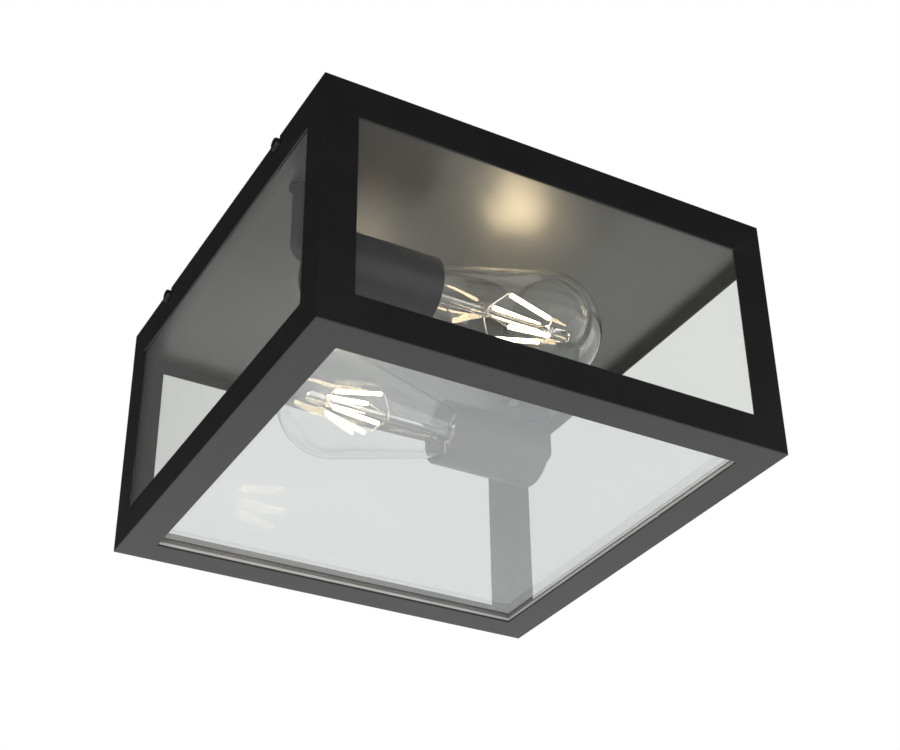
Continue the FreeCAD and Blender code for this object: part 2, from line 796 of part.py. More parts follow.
def make_holder_wires(side):
    """Two wires from the terminal block across the pan, down the sheath and through the nipple."""
    sign, _, half_turn = SIDES[side]
    level = pan_floor + at.wire_height
    reach = holder_back - at.sleeve_base - at.core_chamber_depth
    wires = []
    for offset in (-1, 1):
        y = at.wire_pair_offset * offset
        route = rounded_route([
            (-at.block_width / 2, y - at.block_way_offset, level),
            (-at.block_width / 2 - at.wire_straight, y - at.block_way_offset, level),
            (-wire_drop_x + at.wire_straight, y - at.holder_offset, level),
            (-wire_drop_x, y - at.holder_offset, level),
            (-wire_drop_x, y - at.holder_offset, -at.lamp_axis_drop),
            (-reach, y - at.holder_offset, -at.lamp_axis_drop)])
        sweep = at.wire_sweep_bend.value
        path = path_along(route, [sweep, sweep, at.wire_bend.value, at.sheath_bend.value])
        wires.append(tube_along(path, at.wire_radius.value))
    pair = solid_feature("holder_wires_" + side, Part.makeCompound(wires))
    pair.Placement = FreeCAD.Placement(FreeCAD.Vector(), half_turn)
    return node(pair, "holder_wires_" + side)


def make_sheath(side):
    """Insulating sheath over the pair, from the bush in the pan to the nipple's flange."""
    _, _, half_turn = SIDES[side]
    y = -at.holder_offset
    route = rounded_route([(-wire_drop_x, y, pan_floor + at.bush_flange_thickness),
                           (-wire_drop_x, y, -at.lamp_axis_drop), (-nipple_back, y, -at.lamp_axis_drop)])
    path = path_along(route, [at.sheath_bend.value])
    tube = solid_feature("wire_sheath_" + side, tube_along(path, at.sheath_radius.value, sheath_bore.value))
    tube.Placement = FreeCAD.Placement(FreeCAD.Vector(), half_turn)
    return node(tube, "wire_sheath_" + side)


def make_bushes():
    """Rubber bushes that line the two holes where the sheaths leave the pan."""
    bushes = []
    for side in SIDES:
        sign = SIDES[side][0]
        bore = at.sheath_radius + at.fit_clearance
        thick = at.bush_flange_thickness
        flange = at.bush_flange_radius
        waist = at.bush_waist_radius
        bush = turned_piece("bush_" + side, [
            (bore, -thick), (flange, -thick), (flange, 0), (waist, 0), (waist, at.pan_sheet),
            (flange, at.pan_sheet), (flange, at.pan_sheet + thick), (bore, at.pan_sheet + thick)])
        bushes.append(place(bush, (wire_drop_x * sign, at.holder_offset * sign, pan_underside)))
    return node(group("bush_group", bushes), "wire_bushes")


def make_terminal_block():
    """A two-way block on the pan's floor, with a wire mouth at each end of each way."""
    blank = box("block_blank", (-at.block_width / 2, -at.block_length / 2, pan_floor),
                (at.block_width, at.block_length, at.block_height))
    tapped = rod("block_hole", at.block_screw_radius + at.fit_clearance, at.block_screw_length,
                 (0, 0, pan_floor - at.hole_clearance))
    slits = []
    for step in (-1, 1):
        slits.append(box("block_slit_%s" % ("near" if step < 0 else "far"),
                         (-at.block_width / 2, at.block_slit_offset * step - at.block_slit_width / 2,
                          pan_floor + at.block_height - at.block_slit_depth),
                         (at.block_width, at.block_slit_width, at.block_slit_depth)))
    return node(cut("terminal_block_solid", blank, tapped, *slits), "terminal_block")


def make_block_screw():
    head = rod("block_screw_head", at.block_screw_head_radius, at.block_screw_head_height,
               (0, 0, pan_underside - at.block_screw_head_height))
    shank = rod("block_screw_shank", at.block_screw_radius,
                at.block_screw_length - at.hole_clearance * 2, (0, 0, pan_underside))
    return node(fused("block_screw_solid", head, shank), "block_screw")


def make_earth():
    """Earth screw on the pan's floor and the lead from its lug to the block."""
    spot = (at.earth_reach, at.earth_offset)
    shank = rod("earth_shank", at.earth_screw_radius, at.pan_sheet + at.earth_head_height,
                (*spot, pan_underside))
    head = rod("earth_head", at.earth_head_radius, at.earth_head_height,
               (*spot, pan_floor + at.earth_lug_thickness))
    node(fused("earth_screw_solid", shank, head), "earth_screw")
    level = pan_floor + at.wire_height
    low = pan_floor + at.wire_radius
    points = rounded_route([(at.block_width / 2, at.block_earth_offset, level),
                            (at.block_width, at.block_earth_offset, level),
                            (at.earth_reach - at.earth_lug_radius * 2, at.earth_offset, low),
                            (at.earth_reach - at.earth_head_radius - at.wire_radius, at.earth_offset, low)])
    bend = at.wire_bend.value
    lead = tube_along(path_along(points, [bend, bend]), at.wire_radius.value)
    centre = FreeCAD.Vector(at.earth_reach.value, at.earth_offset.value, pan_floor.value)
    lug = Part.makeCylinder(at.earth_lug_radius.value, at.earth_lug_thickness.value, centre)
    hole = Part.makeCylinder((at.earth_screw_radius + at.fit_clearance).value,
                             at.earth_lug_thickness.value, centre)
    return node(solid_feature("earth_lead_solid", lead.fuse(lug).cut(hole)), "earth_lead")


# ---------------------------------------------------------------- lamps

thread_start = at.tip_height + at.insulator_height
filament_lean = at.filament_base_reach - at.filament_top_reach
filament_rise = (at.filament_length * at.filament_length - filament_lean * filament_lean).root()
filament_top = at.filament_base_height + filament_rise


def make_tip(side):
    name = "lamp_tip_" + side
    return on_lamp(turned_piece(name, [
        (0, 0), (at.tip_radius, at.tip_height / 2, at.tip_bulge_radius, 1), (at.tip_radius, at.tip_height),
        (0, at.tip_height)]), side, name)


def make_insulator(side):
    name = "lamp_insulator_" + side
    root = at.cap_thread_radius - at.cap_thread_depth
    return on_lamp(turned_piece(name, [
        (0, at.tip_height), (at.tip_radius + at.cap_wall, at.tip_height), (root, thread_start),
        (0, thread_start)]), side, name)


def make_cap(side):
    """Brass screw cap with its rounded thread rings and plain skirt."""
    root = at.cap_thread_radius - at.cap_thread_depth
    bore = root - at.cap_wall
    name = "lamp_cap_" + side
    corners = [(bore, thread_start), (root, thread_start)]
    corners += thread_rings(root, at.cap_thread_depth, thread_start, 1)
    corners += [(root, at.cap_length - at.cap_skirt_height),
                (at.cap_thread_radius, at.cap_length - at.cap_skirt_step),
                (at.cap_thread_radius, at.cap_length), (bore, at.cap_length)]
    return on_lamp(turned_piece(name, corners), side, name)


def tangent_corner(radius, neck, start, centre):
    """Where the straight taper from the neck touches the dome."""
    reach = centre - start
    square_sum = neck * neck + reach * reach
    run = (square_sum - radius * radius).root()
    return (radius * (neck * radius + reach * run) / square_sum,
            centre - radius * (reach * radius - neck * run) / square_sum)


def make_glass(side):
    """Pear-shaped envelope: a dome, a straight taper and a neck that enters the cap."""
    name = "lamp_glass_" + side
    wall = at.lamp_glass_wall
    centre = at.lamp_length - at.lamp_dome_radius
    neck = at.cap_thread_radius - at.cap_thread_depth - at.cap_wall - at.fit_clearance
    inner_dome = at.lamp_dome_radius - wall
    outer_touch = tangent_corner(at.lamp_dome_radius, at.lamp_neck_radius, at.lamp_neck_start, centre)
    inner_touch = tangent_corner(inner_dome, at.lamp_neck_radius - wall, at.lamp_neck_start, centre)
    foot = at.cap_length - at.cap_skirt_height
    return on_lamp(turned_piece(name, [
        (neck - wall, foot), (neck, foot), (neck, at.cap_length + at.fit_clearance),
        (at.lamp_neck_radius, at.lamp_neck_start), outer_touch,
        (at.lamp_dome_radius, centre, at.lamp_dome_radius, 1),
        (0, at.lamp_length, at.lamp_dome_radius, 1), (0, at.lamp_length - wall),
        (inner_dome, centre, inner_dome, -1), (*inner_touch, inner_dome, -1),
        (at.lamp_neck_radius - wall, at.lamp_neck_start), (neck - wall, at.cap_length + at.fit_clearance)]),
        side, name)


def make_stem(side):
    """Glass stem: a flare that closes the neck, a rod up the middle and a round button at its end."""
    name = "lamp_stem_" + side
    flare = at.cap_thread_radius - at.cap_thread_depth - at.cap_wall - at.fit_clearance - at.lamp_glass_wall
    foot = at.cap_length - at.cap_skirt_height
    rim = at.lamp_glass_wall
    button = at.stem_button_radius
    neck_end = filament_top + at.filament_collar_height * 1.5 + at.stem_button_gap
    end = neck_end + at.stem_button_length
    return on_lamp(turned_piece(name, [
        (0, foot), (flare - at.fit_clearance, foot), (flare - at.fit_clearance, foot + rim),
        (at.stem_radius * 2, foot + at.stem_flare_height), (at.stem_radius, foot + at.stem_flare_length),
        (at.stem_radius, neck_end), (button, neck_end + rim),
        (button, end - button), (0, end, button, 1)]), side, name)


def filament_ends(side, turn):
    """Lower and upper end of one filament, in the lamp's own frame."""
    angle = math.radians(filament_roll[side]) + 2 * math.pi * turn / counts["filament_count"]
    direction = FreeCAD.Vector(math.cos(angle), math.sin(angle), 0)
    return (direction * at.filament_base_reach.value + Z * at.filament_base_height.value,
            direction * at.filament_top_reach.value + Z * filament_top.value)


def make_filaments(side):
    """Rod filaments that stand round the stem and lean in towards the dome."""
    name = "lamp_filaments_" + side
    rods = []
    for turn in range(counts["filament_count"]):
        low, high = filament_ends(side, turn)
        rods.append(Part.makeCylinder(at.filament_radius.value, (high - low).Length, low, high - low))
    return on_lamp(solid_feature(name, Part.makeCompound(rods)), side, name)


def make_filament_wires(side):
    """Two collars on the stem with a wire out to each end of every filament, and two leads up the stem."""
    name = "lamp_filament_wires_" + side
    bore = at.stem_radius.value + at.fit_clearance.value
    wire = at.filament_wire_radius.value
    thick = at.filament_collar_height.value
    spiders = []
    for end, drop in ((0, at.filament_lead_drop.value), (1, 0)):
        outward = 1 if end else -1
        level = filament_ends(side, 0)[end].z + thick * outward - drop
        hub = Part.makeCylinder(bore + wire * 2, thick, Z * (level - thick / 2))
        for turn in range(counts["filament_count"]):
            low, high = filament_ends(side, turn)
            tip = (low, high)[end]
            along = (high - low).normalize() * outward
            knee = tip + along * thick
            across = FreeCAD.Vector(tip.x, tip.y, 0).normalize()
            start = across * (bore + wire * 1.5) + Z * level
            spoke = Part.makeCylinder(wire, (knee - start).Length, start, knee - start)
            stub = Part.makeCylinder(wire, thick, tip, along)
            bead = Part.makeSphere(at.filament_bead_radius.value, knee)
            hub = hub.fuse([spoke, stub, bead])
        if not end:
            foot = (at.cap_length - at.cap_skirt_height + at.stem_flare_length + at.fit_clearance).value
            for across in (X, -X):
                lead = Part.makeCylinder(wire, level - foot, across * (bore + wire) + Z * foot)
                hub = hub.fuse(lead)
        hole = Part.makeCylinder(bore, thick * THROUGH, Z * (level - thick * THROUGH / 2))
        spiders.append(hub.cut(hole))
    return on_lamp(solid_feature(name, Part.makeCompound(spiders)), side, name)


# ---------------------------------------------------------------- assembly

for side, degrees in QUARTERS.items():
    make_top_rail(side, degrees)
    make_base_rail(side, degrees)
    make_corner_post({"front": "front_left", "right": "front_right", "back": "back_right",
                      "left": "back_left"}[side], degrees)
make_panes()
make_base_seal()
make_ceiling_pan()
make_clamp_fixings()
make_mounting_bar()
make_bar_fixings()
make_rivets()
make_nipples()
make_bushes()
make_terminal_block()
make_block_screw()
make_earth()
for side in SIDES:
    make_bracket(side)
    make_sleeve(side)
    make_core(side)
    make_shell(side)
    make_contact(side)
    make_holder_wires(side)
    make_sheath(side)
    make_tip(side)
    make_insulator(side)
    make_cap(side)
    make_glass(side)
    make_stem(side)
    make_filaments(side)
    make_filament_wires(side)
doc.recompute()

for item in doc.Objects:
    if "Invalid" in item.State or "Error" in item.State:
        raise ValueError("%s did not build: %s" % (item.Label, item.State))
for item in nodes:
    if item.Shape.isNull() or not item.Shape.isValid() or not item.Shape.Solids:
        raise ValueError("%s has no valid solid" % item.Label)

os.makedirs("parts", exist_ok=True)
for item in nodes:
    item.Shape.exportStep("parts/%s.step" % item.Label)
print("%d pieces, %d solids" % (len(nodes), sum(len(item.Shape.Solids) for item in nodes)))
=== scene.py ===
import bpy
import json
import math
from mathutils import Matrix, Vector


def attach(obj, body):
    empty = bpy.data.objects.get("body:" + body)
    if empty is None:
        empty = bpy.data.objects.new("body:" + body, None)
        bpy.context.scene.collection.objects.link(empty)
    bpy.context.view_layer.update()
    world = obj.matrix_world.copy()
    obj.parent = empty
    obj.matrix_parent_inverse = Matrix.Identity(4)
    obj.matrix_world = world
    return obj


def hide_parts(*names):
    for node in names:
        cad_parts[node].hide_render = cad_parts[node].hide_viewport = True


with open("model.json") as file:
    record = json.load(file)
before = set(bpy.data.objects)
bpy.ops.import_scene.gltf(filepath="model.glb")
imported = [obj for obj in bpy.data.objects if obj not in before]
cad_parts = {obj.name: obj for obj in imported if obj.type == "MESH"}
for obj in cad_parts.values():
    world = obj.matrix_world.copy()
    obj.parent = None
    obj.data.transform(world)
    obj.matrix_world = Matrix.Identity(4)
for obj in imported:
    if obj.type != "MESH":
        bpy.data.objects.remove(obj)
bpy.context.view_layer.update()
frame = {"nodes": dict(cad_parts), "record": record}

mm = 0.001
pole = 0.001  # radius in millimetres at which a turned shape closes on its axis
past = 1  # how far a cutter runs past the piece it cuts, in millimetres
along = 0.9  # least part of a unit vector that counts as lying along an axis
near = 0.1  # how far off a level still counts as on it, in millimetres
mergeReach = 0.01  # points closer than this, in millimetres, become one
quarterTurns = {"front": 0, "right": 90, "back": 180, "left": 270}
lampSides = {"left": -1, "right": 1}


# modelling helpers

def deselectEverything():
    if bpy.context.mode != "OBJECT":
        bpy.ops.object.mode_set(mode="OBJECT")
    bpy.ops.object.select_all(action="DESELECT")


def makeActive(piece):
    deselectEverything()
    piece.select_set(True)
    bpy.context.view_layer.objects.active = piece


def addBlock(name, low, high):
    # a block between two corners, in millimetres
    deselectEverything()
    middle = [(a + b) / 2 * mm for a, b in zip(low, high)]
    span = [(b - a) * mm for a, b in zip(low, high)]
    bpy.ops.mesh.primitive_cube_add(size=1, location=middle)
    piece = bpy.context.object
    piece.name = name
    piece.scale = span
    bpy.ops.object.transform_apply(location=True, rotation=True, scale=True)
    return piece


def addRod(name, radius, low, high, sides=48):
    # an upright rod or prism about Z, in millimetres
    deselectEverything()
    bpy.ops.mesh.primitive_cylinder_add(vertices=sides, radius=radius * mm, depth=(high - low) * mm,
                                        location=(0, 0, (low + high) / 2 * mm))
    piece = bpy.context.object
    piece.name = name
    bpy.ops.object.transform_apply(location=True, rotation=True, scale=True)
    return piece


def turnProfile(name, outline, sides=64):
    # a shape turned about Z: a ring is extruded and resized along (radius, height) points, in millimetres
    deselectEverything()
    radius, height = outline[0]
    bpy.ops.mesh.primitive_circle_add(vertices=sides, radius=radius * mm, location=(0, 0, height * mm))
    piece = bpy.context.object
    piece.name = name
    bpy.ops.object.transform_apply(location=True, rotation=True, scale=True)
    bpy.ops.object.mode_set(mode="EDIT")
    bpy.ops.mesh.select_mode(type="VERT")
    bpy.ops.mesh.select_all(action="SELECT")
    for nextRadius, nextHeight in outline[1:]:
        bpy.ops.mesh.extrude_region_move(
            TRANSFORM_OT_translate={"value": (0, 0, (nextHeight - height) * mm)})
        ratio = nextRadius / radius
        bpy.ops.transform.resize(value=(ratio, ratio, 1), center_override=(0, 0, nextHeight * mm))
        radius, height = nextRadius, nextHeight
    bpy.ops.mesh.select_all(action="SELECT")
    bpy.ops.mesh.remove_doubles(threshold=mergeReach * mm)
    bpy.ops.mesh.normals_make_consistent(inside=False)
    bpy.ops.object.mode_set(mode="OBJECT")
    return piece


def pickFaces(piece, wanted):
    # edit mode with only those faces selected that pass the test on their centre and normal
    makeActive(piece)
    bpy.ops.object.mode_set(mode="EDIT")
    bpy.ops.mesh.select_mode(type="FACE")
    bpy.ops.mesh.select_all(action="DESELECT")
    bpy.ops.object.mode_set(mode="OBJECT")
    for face in piece.data.polygons:
        face.select = wanted(face.center, face.normal)
    bpy.ops.object.mode_set(mode="EDIT")


def extrudeFaces(piece, wanted, shift):
    pickFaces(piece, wanted)
    bpy.ops.mesh.extrude_region_move(TRANSFORM_OT_translate={"value": [part * mm for part in shift]})
    bpy.ops.object.mode_set(mode="OBJECT")


def cutWithPlane(piece, point, normal, clearOuter=True):
    # cuts a piece with a plane, and closes the cut where one side is thrown away
    makeActive(piece)
    bpy.ops.object.mode_set(mode="EDIT")
    bpy.ops.mesh.select_all(action="SELECT")
    bpy.ops.mesh.bisect(plane_co=[part * mm for part in point], plane_no=normal, use_fill=clearOuter,
                        clear_outer=clearOuter)
    bpy.ops.object.mode_set(mode="OBJECT")


def pickEdges(piece, wanted):
    # edit mode with only those edges selected that pass the test on their middle (mm) and direction
    makeActive(piece)
    bpy.ops.object.mode_set(mode="EDIT")
    bpy.ops.mesh.select_mode(type="EDGE")
    bpy.ops.mesh.select_all(action="DESELECT")
    bpy.ops.object.mode_set(mode="OBJECT")
    corners = piece.data.vertices
    for edge in piece.data.edges:
        first, second = (corners[number].co for number in edge.vertices)
        edge.select = wanted((first + second) / 2 / mm, (second - first).normalized())
    bpy.ops.object.mode_set(mode="EDIT")


def bevelEdges(piece, wanted, width, segments=3):
    pickEdges(piece, wanted)
    bpy.ops.mesh.bevel(offset=width * mm, segments=segments, profile=0.5, affect="EDGES",
                       clamp_overlap=True)
    bpy.ops.mesh.select_mode(type="VERT")
    bpy.ops.object.mode_set(mode="OBJECT")


def polish(piece, angle=40):
    smoothByAngle(piece, angle)
    addModifier(piece, "WEIGHTED_NORMAL", keep_sharp=True)


def addModifier(piece, kind, **settings):
    makeActive(piece)
    modifier = piece.modifiers.new(kind.title(), kind)
    for key, value in settings.items():
        setattr(modifier, key, value)
    bpy.ops.object.modifier_apply(modifier=modifier.name)


def cutAway(piece, *cutters):
    for cutter in cutters:
        addModifier(piece, "BOOLEAN", object=cutter, operation="DIFFERENCE", solver="EXACT")
        bpy.data.objects.remove(cutter)


def joinPieces(name, pieces):
    makeActive(pieces[0])
    for piece in pieces[1:]:
        piece.select_set(True)
    bpy.ops.object.join()
    bpy.context.object.name = name
    return bpy.context.object


def softenEdges(piece, width, segments=2, angle=30):
    addModifier(piece, "BEVEL", width=width * mm, segments=segments, limit_method="ANGLE",
                angle_limit=math.radians(angle), use_clamp_overlap=True)
    polish(piece)


def smoothByAngle(piece, angle):
    makeActive(piece)
    bpy.ops.object.shade_smooth_by_angle(angle=math.radians(angle))


def copyPiece(piece, name):
    # a copy with a mesh of its own
    makeActive(piece)
    bpy.ops.object.duplicate(linked=False)
    bpy.context.object.name = name
    return bpy.context.object


def setInPlace(piece, matrix):
    # moves a piece and puts the move in its mesh
    makeActive(piece)
    piece.matrix_world = matrix @ piece.matrix_world
    bpy.ops.object.transform_apply(location=True, rotation=True, scale=True)
    return piece


def turnAboutZ(degrees):
    return Matrix.Rotation(math.radians(degrees), 4, "Z")


def finishPiece(piece, material, body, slotName, *nodes):
    piece.data.materials.clear()
    piece.data.materials.append(material)
    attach(piece, body)
    if nodes:
        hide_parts(*nodes)
    return piece


# material helpers

def newFinish(name):
    material = bpy.data.materials.new(name)
    material.use_nodes = True
    tree = material.node_tree
    shader = next(node for node in tree.nodes if node.type == "BSDF_PRINCIPLED")
    place = tree.nodes.new("ShaderNodeTexCoord").outputs["Object"]
    return material, tree, shader, place


def addNoise(tree, place, scale, detail=3, stretch=None):
    source = place
    if stretch:
        mapping = tree.nodes.new("ShaderNodeMapping")
        mapping.inputs["Scale"].default_value = stretch
        tree.links.new(place, mapping.inputs["Vector"])
        source = mapping.outputs["Vector"]
    noise = tree.nodes.new("ShaderNodeTexNoise")
    noise.inputs["Scale"].default_value = scale
    noise.inputs["Detail"].default_value = detail
    tree.links.new(source, noise.inputs["Vector"])
    return noise.outputs["Fac"]


def addRange(tree, factor, low, high, fromLow=0.3, fromHigh=0.7):
    span = tree.nodes.new("ShaderNodeMapRange")
    span.inputs["From Min"].default_value = fromLow
    span.inputs["From Max"].default_value = fromHigh
    span.inputs["To Min"].default_value = low
    span.inputs["To Max"].default_value = high
    tree.links.new(factor, span.inputs["Value"])
    return span.outputs["Result"]


def addBlend(tree, factor, first, second):
    mix = tree.nodes.new("ShaderNodeMix")
    mix.data_type = "RGBA"
    for socket, colour in (("A_Color", first), ("B_Color", second)):
        entry = next(item for item in mix.inputs if item.identifier == socket)
        if isinstance(colour, bpy.types.NodeSocket):
            tree.links.new(colour, entry)
        else:
            entry.default_value = (*colour, 1)
    tree.links.new(factor, next(item for item in mix.inputs if item.identifier == "Factor_Float"))
    return next(item for item in mix.outputs if item.identifier == "Result_Color")


def addBump(tree, shader, height, strength, distance):
    bump = tree.nodes.new("ShaderNodeBump")
    bump.inputs["Strength"].default_value = strength
    bump.inputs["Distance"].default_value = distance * mm
    tree.links.new(height, bump.inputs["Height"])
    tree.links.new(bump.outputs["Normal"], shader.inputs["Normal"])


def solidFinish(name, dark, light, rough, metallic=0.0, specular=0.5, coat=0.0, patchScale=35,
                grainScale=900, grainHeight=0.02, grainStrength=0.3, stretch=None):
    # an opaque finish: patchy colour, patchy gloss and a fine grain
    material, tree, shader, place = newFinish(name)
    patches = addNoise(tree, place, patchScale, 4)
    grain = addNoise(tree, place, grainScale, 2, stretch)
    tree.links.new(addBlend(tree, addRange(tree, patches, 0, 1), dark, light), shader.inputs["Base Color"])
    tree.links.new(addRange(tree, grain, rough[0], rough[1]), shader.inputs["Roughness"])
    shader.inputs["Metallic"].default_value = metallic
    shader.inputs["Specular IOR Level"].default_value = specular
    shader.inputs["Coat Weight"].default_value = coat
    addBump(tree, shader, grain, grainStrength, grainHeight)
    return material


glassLook = {"ior": 1.5, "rough": 0.012, "smearScale": 18, "waveScale": 9, "waveStrength": 0.15,
             "waveHeight": 0.01}


def glassFinish(name, tint):
    # clear glass that lets the studio light through, with faint waves
    material, tree, shader, place = newFinish(name)
    shader.inputs["Transmission Weight"].default_value = 1
    shader.inputs["IOR"].default_value = glassLook["ior"]
    smears = addNoise(tree, place, glassLook["smearScale"], 3)
    paler = [min(1, part * 1.02) for part in tint]
    tree.links.new(addBlend(tree, addRange(tree, smears, 0, 1), tint, paler), shader.inputs["Base Color"])
    tree.links.new(addRange(tree, smears, 0.0, glassLook["rough"]), shader.inputs["Roughness"])
    waves = addNoise(tree, place, glassLook["waveScale"], 1)
    addBump(tree, shader, waves, glassLook["waveStrength"], glassLook["waveHeight"])
    clear = tree.nodes.new("ShaderNodeBsdfTransparent")
    clear.inputs["Color"].default_value = (*tint, 1)
    lightPath = tree.nodes.new("ShaderNodeLightPath")
    either = tree.nodes.new("ShaderNodeMath")
    either.operation = "MAXIMUM"
    tree.links.new(lightPath.outputs["Is Shadow Ray"], either.inputs[0])
    tree.links.new(lightPath.outputs["Is Diffuse Ray"], either.inputs[1])
    glassMix = tree.nodes.new("ShaderNodeMixShader")
    tree.links.new(either.outputs["Value"], glassMix.inputs["Fac"])
    tree.links.new(shader.outputs["BSDF"], glassMix.inputs[1])
    tree.links.new(clear.outputs["BSDF"], glassMix.inputs[2])
    output = next(node for node in tree.nodes if node.type == "OUTPUT_MATERIAL")
    tree.links.new(glassMix.outputs["Shader"], output.inputs["Surface"])
    return material


paneLook = {"dark": (0.80, 0.83, 0.83), "light": (0.86, 0.88, 0.88), "rough": 0.014, "smearScale": 16}


def paneFinish(name, tint, shine, bend, body):
    # a clear pane: see-through, with a reflection that grows towards a glancing view
    material, tree, shader, place = newFinish(name)
    smears = addNoise(tree, place, paneLook["smearScale"], 4)
    tree.links.new(addBlend(tree, addRange(tree, smears, 0, 1), paneLook["dark"], paneLook["light"]),
                   shader.inputs["Base Color"])
    tree.links.new(addRange(tree, smears, 0.0, paneLook["rough"]), shader.inputs["Roughness"])
    shader.inputs["Metallic"].default_value = 1 - body
    facing = tree.nodes.new("ShaderNodeLayerWeight").outputs["Facing"]
    curve = tree.nodes.new("ShaderNodeMath")
    curve.operation = "POWER"
    curve.inputs[1].default_value = bend
    tree.links.new(facing, curve.inputs[0])
    clear = tree.nodes.new("ShaderNodeBsdfTransparent")
    clear.inputs["Color"].default_value = (*tint, 1)
    mix = tree.nodes.new("ShaderNodeMixShader")
    tree.links.new(addRange(tree, curve.outputs["Value"], shine, 1, 0, 1), mix.inputs["Fac"])
    tree.links.new(clear.outputs["BSDF"], mix.inputs[1])
    tree.links.new(shader.outputs["BSDF"], mix.inputs[2])
    output = next(node for node in tree.nodes if node.type == "OUTPUT_MATERIAL")
    tree.links.new(mix.outputs["Shader"], output.inputs["Surface"])
    return material


print("making the finishes")
cageBlack = solidFinish("powderBlack", (0.0038, 0.0038, 0.0046), (0.0062, 0.0062, 0.0072), (0.34, 0.44),
                        specular=0.7, grainScale=2600, grainHeight=0.004, grainStrength=0.04)
paneGlass = paneFinish("clearPane", (0.94, 0.945, 0.935), 0.03, 6, 0.35)
baseGlass = paneFinish("clearBasePane", (0.94, 0.95, 0.95), 0.21, 4, 0.25)
# the seal's pale grey is a painted reflection: it stands in for the soft pale strip that the base flange's edge shows
# in the glass above it
sealPaintedReflection = solidFinish("paleSealPaintedReflection", (0.46, 0.46, 0.45), (0.56, 0.56, 0.55), (0.4, 0.55), specular=0.4)
bushRubber = solidFinish("bushRubber", (0.012, 0.012, 0.012), (0.022, 0.022, 0.022), (0.7, 0.85),
                         specular=0.3)
panGrey = solidFinish("panSteel", (0.195, 0.197, 0.195), (0.225, 0.225, 0.222), (0.32, 0.37), metallic=0.75,
                      patchScale=9, grainScale=45, grainHeight=0.02, grainStrength=0.05)
screwBlack = solidFinish("blackedScrew", (0.010, 0.010, 0.011), (0.024, 0.023, 0.023), (0.3, 0.45),
                         metallic=0.4, patchScale=220, grainScale=1800)
zincSteel = solidFinish("zincedSteel", (0.46, 0.47, 0.48), (0.60, 0.60, 0.58), (0.32, 0.42), metallic=0.8,
                        patchScale=70, grainScale=160, grainHeight=0.005, grainStrength=0.08)
nutBlack = solidFinish("capNutBlack", (0.010, 0.010, 0.011), (0.020, 0.020, 0.021), (0.24, 0.36),
                       metallic=0.3, patchScale=160, grainScale=1600)
bracketBlack = solidFinish("bracketBlack", (0.012, 0.012, 0.013), (0.020, 0.020, 0.022), (0.35, 0.5),
                           grainScale=1200, grainHeight=0.03)
sleeveBlack = solidFinish("sleeveSlate", (0.040, 0.038, 0.043), (0.050, 0.048, 0.054), (0.36, 0.46),
                          specular=0.5, patchScale=45, grainScale=1500, grainHeight=0.02)
coreWhite = solidFinish("glazedCeramic", (0.62, 0.60, 0.56), (0.72, 0.70, 0.66), (0.25, 0.4), patchScale=90)
brass = solidFinish("brass", (0.62, 0.42, 0.15), (0.78, 0.56, 0.24), (0.2, 0.38), metallic=1.0,
                    patchScale=90, grainScale=900, grainHeight=0.01)
whitePlastic = solidFinish("ivoryBlock", (0.66, 0.65, 0.60), (0.76, 0.75, 0.70), (0.4, 0.5), patchScale=60)
earthGreen = solidFinish("earthSleeving", (0.045, 0.20, 0.03), (0.06, 0.26, 0.04), (0.35, 0.45),
                         patchScale=80)
wireBlack = solidFinish("wireBlack", (0.012, 0.012, 0.013), (0.020, 0.020, 0.021), (0.35, 0.45),
                        patchScale=80)
sheathBlack = solidFinish("sheathBlack", (0.012, 0.012, 0.012), (0.022, 0.022, 0.022), (0.5, 0.65),
                          patchScale=120, grainScale=1500, grainHeight=0.05)
solder = solidFinish("solder", (0.40, 0.40, 0.41), (0.52, 0.52, 0.53), (0.3, 0.5), metallic=1.0,
                     patchScale=300)
insulatorBlack = solidFinish("blackInsulator", (0.008, 0.008, 0.010), (0.014, 0.014, 0.018), (0.06, 0.14),
                             patchScale=200)
capNickel = solidFinish("nickeledCap", (0.58, 0.54, 0.46), (0.70, 0.66, 0.58), (0.16, 0.3), metallic=1.0,
                        patchScale=120, grainScale=900, grainHeight=0.008)
lampGlass = glassFinish("lampGlass", (0.985, 0.99, 0.985))
stemGlass = glassFinish("stemGlass", (0.97, 0.97, 0.985))
supportWire = solidFinish("supportWire", (0.50, 0.50, 0.50), (0.64, 0.63, 0.61), (0.2, 0.35), metallic=1.0,
                          patchScale=400)


glow = {"deep": (1.0, 0.76, 0.46), "pale": (1.0, 0.81, 0.54), "strength": 30, "grainScale": 700,
        "grainHeight": 0.05}


def glowingFinish():
    # the warm phosphor coat of a filament rod
    material, tree, shader, place = newFinish("glowingFilament")
    grain = addNoise(tree, place, glow["grainScale"], 2)
    warmth = addBlend(tree, addRange(tree, grain, 0, 1), glow["deep"], glow["pale"])
    tree.links.new(warmth, shader.inputs["Base Color"])
    tree.links.new(warmth, shader.inputs["Emission Color"])
    shader.inputs["Emission Strength"].default_value = glow["strength"]
    tree.links.new(addRange(tree, grain, 0.5, 0.7), shader.inputs["Roughness"])
    addBump(tree, shader, grain, 0.3, glow["grainHeight"])
    return material


filamentGlow = glowingFinish()

